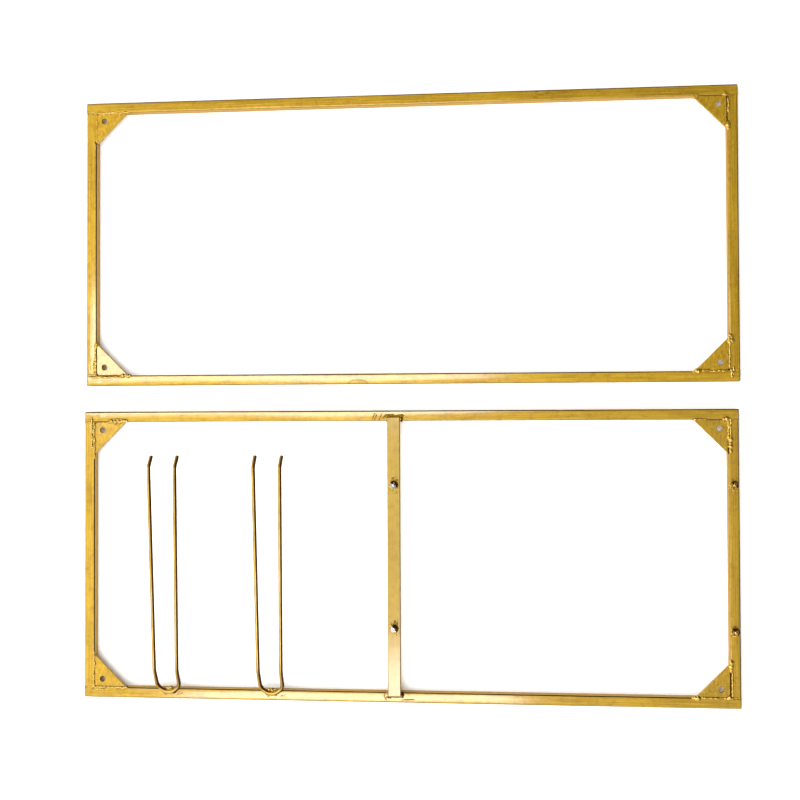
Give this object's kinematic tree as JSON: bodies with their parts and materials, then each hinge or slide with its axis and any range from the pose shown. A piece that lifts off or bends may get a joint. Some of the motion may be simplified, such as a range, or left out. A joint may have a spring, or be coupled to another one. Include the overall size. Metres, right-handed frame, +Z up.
{
  "type": "welded rectangular frame set",
  "caption": "Pair of gold painted rectangular square-tube frames with drilled corner gussets; one carries a flat bar, threaded studs and stemware wire loops.",
  "frame": {"origin": "on the surface the two frames lie on, under the middle of the pair (bottom centre of the bounding box)", "axes": "+X along the long rails, +Y from the rack frame to the plain frame, +Z up from the surface"},
  "size_m": [0.752, 0.6966, 0.0446],
  "materials": {
    "gold_paint": "satin metallic gold spray paint with a fine orange peel",
    "gold_wire": "bronze gold, glossier than the rails",
    "zinc_steel": "bright zinc plate"
  },
  "bodies": {
    "rack_frame": {"rack_front_rail": "gold_paint", "rack_back_rail": "gold_paint", "rack_left_rail": "gold_paint", "rack_right_rail": "gold_paint", "rack_end_plate_front_left": "gold_paint", "rack_gusset_front_left": "gold_paint", "rack_end_plate_front_right": "gold_paint", "rack_gusset_front_right": "gold_paint", "rack_end_plate_back_left": "gold_paint", "rack_gusset_back_left": "gold_paint", "rack_end_plate_back_right": "gold_paint", "rack_gusset_back_right": "gold_paint", "rack_centre_bar": "gold_paint", "rack_wire_loop_left": "gold_wire", "rack_wire_loop_right": "gold_wire", "rack_stud_bar_front": "zinc_steel", "rack_nut_bar_front": "zinc_steel", "rack_stud_bar_back": "zinc_steel", "rack_nut_bar_back": "zinc_steel", "rack_stud_rail_front": "gold_paint", "rack_nut_rail_front": "gold_paint", "rack_stud_rail_back": "gold_paint", "rack_nut_rail_back": "gold_paint"},
    "plain_frame": {"plain_front_rail": "gold_paint", "plain_back_rail": "gold_paint", "plain_left_rail": "gold_paint", "plain_right_rail": "gold_paint", "plain_end_plate_front_left": "gold_paint", "plain_gusset_front_left": "gold_paint", "plain_end_plate_front_right": "gold_paint", "plain_gusset_front_right": "gold_paint", "plain_end_plate_back_left": "gold_paint", "plain_gusset_back_left": "gold_paint", "plain_end_plate_back_right": "gold_paint", "plain_gusset_back_right": "gold_paint"}
  },
  "joints": [
    {"name": "plain_frame_lift", "type": "slide", "parent": "rack_frame", "child": "plain_frame", "axis": [0, 0, 1], "range_m": [0, 0.1]}
  ]
}
